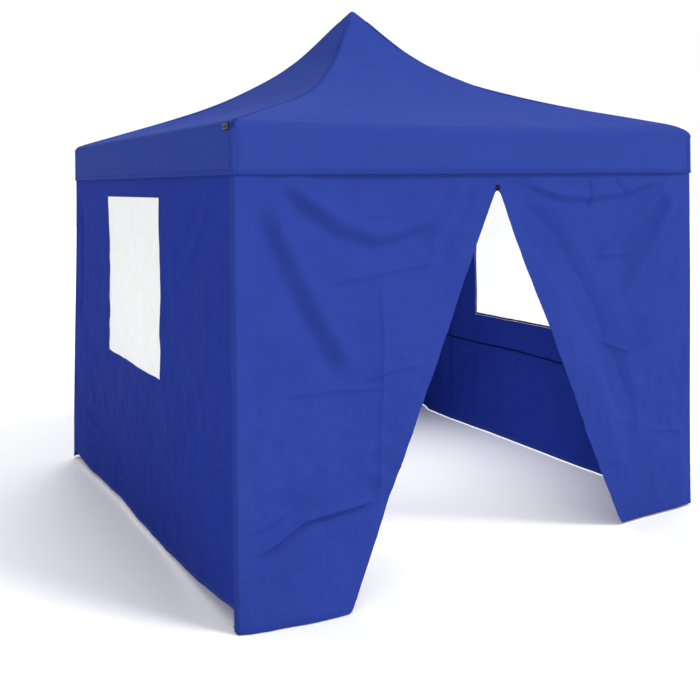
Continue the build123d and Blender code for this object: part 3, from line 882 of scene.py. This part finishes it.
def plain_wall(side, window=None):
    """A whole wall with its hem and top tapes; window is its opening's (from, to, low, high)."""
    ends = corner_steps(side)
    inner = ends[0]
    stops = [-inner, *(window[:2] if window else ()), inner]
    a = np.unique(np.round(np.concatenate([steps(GRID, *stops), ends, -ends]), 7))
    low = 0.02
    z = steps(GRID, low, *(window[2:] if window else ()), WALL_TOP)
    A, Z = np.meshgrid(a, z, indexing="ij")
    lift = hem_height(side, A) - low
    Z = Z + lift * (1 - smooth((Z - low) / 0.6))
    points = wall_points(side, A, Z)
    keep = None
    if window:
        ac, zc = (a[:-1] + a[1:]) / 2, (z[:-1] + z[1:]) / 2
        across, upright = (ac > window[0]) & (ac < window[1]), (zc > window[2]) & (zc < window[3])
        keep = ~(across[:, None] & upright[None, :])
    obj = cloth(f"wall_{side}_cloth", points, np.stack([A, Z], -1), wall_oxford, keep=keep)
    on_side(obj, side, replaces=(f"wall_{side}",))
    line, inner_line = a[::2], a[::2][4:-4]
    wall_tape(f"wall_{side}_hem", side, line, hem_height(side, line) + 0.014, HEM_WIDTH, HEM_THICK, hem_blue)
    wall_tape(f"wall_{side}_hem_inside", side, inner_line, hem_height(side, inner_line) + 0.014,
              HEM_WIDTH, HEM_THICK, hem_blue, outside=False)
    top_tapes(f"wall_{side}", side, np.linspace(-1.40, 1.40, 120))


FILM_LAP = 0.015


def window_pane(side, window):
    """Milky film sewn behind the opening, and the binding round it on both faces."""
    a0, a1, z0, z1 = window
    lap, past, gap, count = FILM_LAP, 0.012, 0.006, 60
    a, z = steps(0.02, a0 - lap, a1 + lap), steps(0.02, z0 - lap, z1 + lap)
    A, Z = np.meshgrid(a, z, indexing="ij")
    points = wall_points(side, A, Z, inset=THICK + 0.0003)
    inside = (smooth((A - a0) / 0.1) * smooth((a1 - A) / 0.1)
              * smooth((Z - z0) / 0.1) * smooth((z1 - Z) / 0.1))
    _, n = SIDES[side]
    ripple = 0.003 * waves(FILM_SEED, BROAD, A + 2, Z) + 0.001 * waves(FILM_SEED, MEDIUM, A + 2, Z)
    points = points + n * (inside * ripple)[..., None]
    pane = cloth(f"window_{side}_film", points, np.stack([A, Z], -1), film, thick=0.0005)
    on_side(pane, side, replaces=(f"window_{side}",))
    level, upright = np.linspace(a0 - past, a1 + past, count), np.linspace(z0 - past, z1 + past, count)
    edges = {"bottom": (level, np.full(count, z0 - gap)), "top": (level, np.full(count, z1 + gap)),
             "left": (np.full(count, a0 - gap), upright), "right": (np.full(count, a1 + gap), upright)}
    for outside in (True, False):
        where = "outside" if outside else "inside"
        for edge, (ea, ez) in edges.items():
            thick = (0.0010 if edge in ("left", "right") else 0.0013) + (0 if outside else 0.0009)
            wall_tape(f"window_{side}_binding_{edge}_{where}", side, ea, ez, 0.013, thick,
                      seam_blue if outside else inner_seam, outside)


def window_box(side):
    """Opening of a window in a wall's own (along, up) metres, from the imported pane."""
    lo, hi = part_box(f"window_{side}")
    t, _ = SIDES[side]
    ends = sorted(float(np.dot(t, p)) for p in (np.array(lo), np.array(hi)))
    return ends[0] + FILM_LAP, ends[1] - FILM_LAP, lo.z + FILM_LAP, hi.z - FILM_LAP


for side in ("left", "right"):
    plain_wall(side, window_box(side))
    window_pane(side, window_box(side))
    line = np.linspace(-1.44, 1.44, 140)
    wavy = 0.680 + 0.004 * np.sin(line * 2.4) + 0.003 * np.sin(line * 6.1 + 1)
    wall_tape(f"wall_{side}_cross_seam", side, line, wavy, 0.015, 0.0022, inner_seam, outside=False)
plain_wall("back")


# -------- front panels and door
APEX = 1.975
PARTS = {"left": -1, "right": 1}


def door_edge(part, z):
    """Where the opened door's edge is at a height."""
    h = np.clip(APEX - z, 0, None)
    if part == "right":
        return 0.4495 * h + 0.003 * smooth(h / 0.05)
    return -(0.4505 * h + 0.0036 * h ** 3) - 0.050 * np.exp(-z / 0.19) + 0.006 * hump(z, 0.6, 0.3)


def front_panel(part):
    """The front wall on one side of the door, with the rolled fold along the opening."""
    sign = PARTS[part]
    ends = corner_steps("front")
    corner, wide = ends[0], ends[-1]
    low = 0.002 if part == "left" else 0.010
    v = steps(0.0042, 0.0, 1.0)
    S, V = np.meshgrid(np.linspace(0, 1, 170), v, indexing="ij")
    far = 0.970
    curl = np.clip((S - far) / (1 - far), 0, 1)
    bottom = low + 0.018 * (1 - np.sqrt(np.clip(1 - curl ** 2, 0, 1)))
    Z = bottom + V * (WALL_TOP - bottom)
    edge = door_edge(part, Z)
    A = sign * corner + S * (edge - sign * corner)
    E, VE = np.meshgrid(ends[::-1][:-1], v, indexing="ij")
    A = np.concatenate([sign * E, A])
    Z = np.concatenate([low + VE * (WALL_TOP - low), Z])
    points = wall_points("front", A, Z)
    uv = np.stack([A, Z], -1)
    if sign > 0:
        points, uv = points[::-1], uv[::-1]
    obj = cloth(f"front_panel_{part}", points, uv, front_cloth_painted_lit)
    on_side(obj, "front", replaces=("wall_front",) if part == "left" else ())
    prefix, hem_width = f"front_panel_{part}", 0.025
    hem_a = np.linspace(sign * (wide - 0.004), door_edge(part, 0.02) + sign * 0.055, 110)
    hem_z = np.full(110, low + 0.0135)
    wall_tape(f"{prefix}_hem", "front", hem_a, hem_z, hem_width, HEM_THICK, hem_blue)
    wall_tape(f"{prefix}_hem_inside", "front", hem_a[8:], hem_z[8:], hem_width, HEM_THICK, hem_blue,
              outside=False)
    top_tapes(prefix, "front", np.linspace(sign * 1.40, sign * 0.03, 60))
    z_edge = np.linspace(APEX - 0.004, low + 0.045, 150)
    roll = wall_points("front", door_edge(part, z_edge), z_edge, inset=0.0026)
    on_side(tube(f"door_fold_{part}", roll, 0.0030, front_cloth_painted_lit, sides=12), "front")


def flap_points(part, p, w):
    """The loose half of the door, folded back behind its panel: p runs down the fold, w away from it."""
    sign = PARTS[part]
    lo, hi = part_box(f"door_flap_{part}")
    tip = np.array([sign * max(abs(lo.x), abs(hi.x)), 0.76])
    top, foot_z = APEX - 0.03, 0.055
    z_fold = top + p * (foot_z - top)
    a_fold = door_edge(part, z_fold)
    a_far = p * tip[0]
    z_far = top + p * (tip[1] - top)
    a, z = a_fold + w * (a_far - a_fold), z_fold + w * (z_far - z_fold)
    ripple = 0.5 + 0.5 * np.sin(w * 9 + p * 3 + sign)
    gap = 0.0038 + smooth(w / 0.3) * p * (0.006 + 0.010 * ripple * p)
    gap = gap * (1 - 0.35 * smooth((w - 0.85) / 0.15)) + 0.0005 * waves(FLAP_SEED, MEDIUM, a + 2, z)
    return wall_points("front", a, z, inset=np.maximum(gap, 0.0034)), a, z


def door_flap(part):
    """A door flap with zip tape and coil along its loose edge, and a hem along its foot."""
    sign = PARTS[part]
    p, w = steps(0.010, 0.0, 1.0), steps(0.016, 0.0, 1.0)
    P, W = np.meshgrid(np.maximum(p, 0.004), w, indexing="ij")
    points, A, Z = flap_points(part, P, W)
    uv = np.stack([A, Z], -1)
    if sign > 0:
        points, uv = points[:, ::-1], uv[:, ::-1]
    obj = cloth(f"door_flap_{part}_cloth", points[::-1], uv[::-1], front_cloth_painted_lit)
    on_side(obj, "front", replaces=(f"door_flap_{part}",))
    run, edge, back = np.linspace(0.03, 0.985, 120), np.full(120, 0.992), 0.004
    for name, p_line, w_line, width, thick, look in (("zip_tape", run, edge, 0.016, 0.0014, zip_tape),
                                                     ("hem", edge, run, 0.024, HEM_THICK, hem_blue)):
        line = flap_points(part, p_line, w_line)[0]
        step_p = flap_points(part, p_line - back, w_line)[0] - line
        step_w = flap_points(part, p_line, w_line - back)[0] - line
        inward = unit(np.cross(step_p, step_w))
        inward = np.where((inward[:, 1] < 0)[:, None], -inward, inward)
        on_side(tape(f"door_{name}_{part}", line + inward * THICK, inward, width, thick, look), "front")
        if name == "zip_tape":
            coil = line + inward * 0.0034
            zipper = tube(f"door_zip_coil_{part}", coil, 0.0016, black_nylon, sides=8)
            on_side(zipper, "front")


for part in PARTS:
    front_panel(part)
    door_flap(part)


# -------- small hardware
for name, height, length in (("upper", APEX - 0.010, 0.012), ("lower", APEX - 0.021, 0.015)):
    tack = np.linspace(-length, length, 10)
    wall_tape(f"door_apex_tack_{name}", "front", tack, np.full(10, height), 0.011, 0.0030, webbing_black)


def outline(wide, high, radius):
    """Rounded rectangle as points round the middle."""
    turn = np.linspace(0, 2 * np.pi, 40, endpoint=False)
    axes = ((np.cos(turn), wide / 2), (np.sin(turn), high / 2))
    return np.stack([np.sign(c) * (half - radius + radius * np.abs(c) ** 0.7)
                     * np.minimum(1, np.abs(c) * 1.9) for c, half in axes], -1)


def shrunk(loop, by):
    """A loop made smaller by that much on every side."""
    return loop * (1 - by / np.maximum(np.abs(loop).max(0), 1e-6))


def moulded_ring(name, centre, right, up, outward, outer, inner, thick, look):
    """Moulded frame with a hole through it and rounded edges: outer and inner are (width, height)."""
    big, small, edge = outline(*outer, 0.004), outline(*inner, 0.003), thick * 0.3
    big_in, small_out = shrunk(big, edge), shrunk(small, -edge)
    loops = [(big, edge), (big_in, 0), (small_out, 0), (small, edge),
             (small, thick - edge), (small_out, thick), (big_in, thick), (big, thick - edge)]
    verts = np.stack([centre + loop[:, :1] * right + loop[:, 1:] * up + depth * outward
                      for loop, depth in loops], 1)
    n, m = verts.shape[:2]
    return new_object(name, verts.reshape(-1, 3), ring_faces(n, m, True), np.zeros((n * m, 2)), look)


BUCKLES = {"front_left": ("left", 1), "front_right": ("right", -1),
           "back_left": ("back", 1), "back_right": ("back", -1)}
BUCKLE_Z = VALANCE_TOP + 0.009
for corner, (side, end) in BUCKLES.items():
    t, n = SIDES[side]
    at = np.array([end * (HALF - 0.060)])
    face, _ = valance_points(side, at, np.array([BUCKLE_Z]))
    centre = face[0] + n * 0.0022
    pieces = [moulded_ring(f"buckle_frame_{corner}", centre, t, UP, n,
                           (0.058, 0.026), (0.040, 0.012), 0.0062, black_nylon)]
    bar = np.stack([centre + t * x + n * 0.0034 for x in np.linspace(-0.024, 0.024, 12)])
    pieces.append(tube(f"buckle_bar_{corner}", bar, 0.0024, black_nylon, sides=12))
    drop = np.array([0.020, 0.016, 0.010, 0.004, 0.0, -0.004, -0.008, -0.012, -0.016, -0.020])
    proud = np.array([0.0000, 0.0006, 0.0022, 0.0052, 0.0064, 0.0052, 0.0022, 0.0006, 0.0004, 0.0004])
    strap_a = np.full(len(drop), at[0])
    line = valance_points(side, strap_a, BUCKLE_Z + drop)[0] + n * proud[:, None]
    line[:1] -= n * 0.006
    facing = np.tile(n, (len(drop), 1))
    pieces.append(tape(f"buckle_strap_{corner}", line, facing, 0.034, 0.0014, webbing_black))
    for piece, slot in zip(pieces, ("black_plastic", "black_plastic", "blue_cloth")):
        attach(piece, f"{corner}_leg_outer")


# -------- floor, light and world
FLOOR_REACH = 40
corners = ((-1, -1), (1, -1), (1, 1), (-1, 1))
floor_mesh = bpy.data.meshes.new("floor")
floor_mesh.from_pydata([(x * FLOOR_REACH, y * FLOOR_REACH, 0) for x, y in corners], [], [(0, 1, 2, 3)])
floor = linked("floor", floor_mesh)
floor.location.z = -0.002
floor_look, _, floor_bsdf = material("pale_floor")
floor_bsdf.inputs["Base Color"].default_value = (0.97, 0.97, 0.97, 1)
floor_bsdf.inputs["Roughness"].default_value = 0.9
floor_bsdf.inputs["Specular IOR Level"].default_value = 0.1
floor_mesh.materials.append(floor_look)

world = bpy.data.worlds.new("studio")
bpy.context.scene.world = world
world.use_nodes = True
tree = world.node_tree
# A dark flag to the left, above the horizon, keeps glare off the left wall
sky = node(tree, "ShaderNodeSeparateXYZ", {0: node(tree, "ShaderNodeTexCoord").outputs["Generated"]})
leftward = ramp(tree, sky.outputs[0], -0.10, -0.45)
up = sky.outputs[2]
raised = maths(tree, "MULTIPLY", ramp(tree, up, 0.16, 0.30), ramp(tree, up, 0.60, 0.42))
flagged = mixed(tree, maths(tree, "MULTIPLY", leftward, raised), (1, 1, 1), (0.16, 0.16, 0.16))
tree.links.new(flagged, tree.nodes["Background"].inputs[0])
bpy.context.scene.view_settings.view_transform = "Standard"


def lamp(name, kind, energy, **settings):
    """Light in the scene, with those settings of its data."""
    made = linked(name, bpy.data.lights.new(name, kind))
    for key, value in {"energy": energy, **settings}.items():
        setattr(made.data, key, value)
    return made


for name, energy, spread, direction in (("key", 1.88, 16, (0.45, -0.55, 0.75)),
                                        ("rim", 0.7, 24, (0.25, 0.45, 0.85))):
    sun = lamp(name, "SUN", energy, angle=math.radians(spread))
    sun.rotation_mode = "QUATERNION"
    sun.rotation_quaternion = Vector(direction).to_track_quat("Z", "Y")

# Both of these stand inside the gazebo
fill = lamp("fill", "POINT", 26, shadow_soft_size=0.6)
fill.location = (0.25, 0.2, 1.25)
ground_fill = lamp("ground_fill", "SPOT", 75, spot_size=math.radians(95), spot_blend=0.7,
                   shadow_soft_size=0.3)
ground_fill.location = (0.3, -0.1, 1.9)
for light in (fill, ground_fill):
    light.visible_camera = False
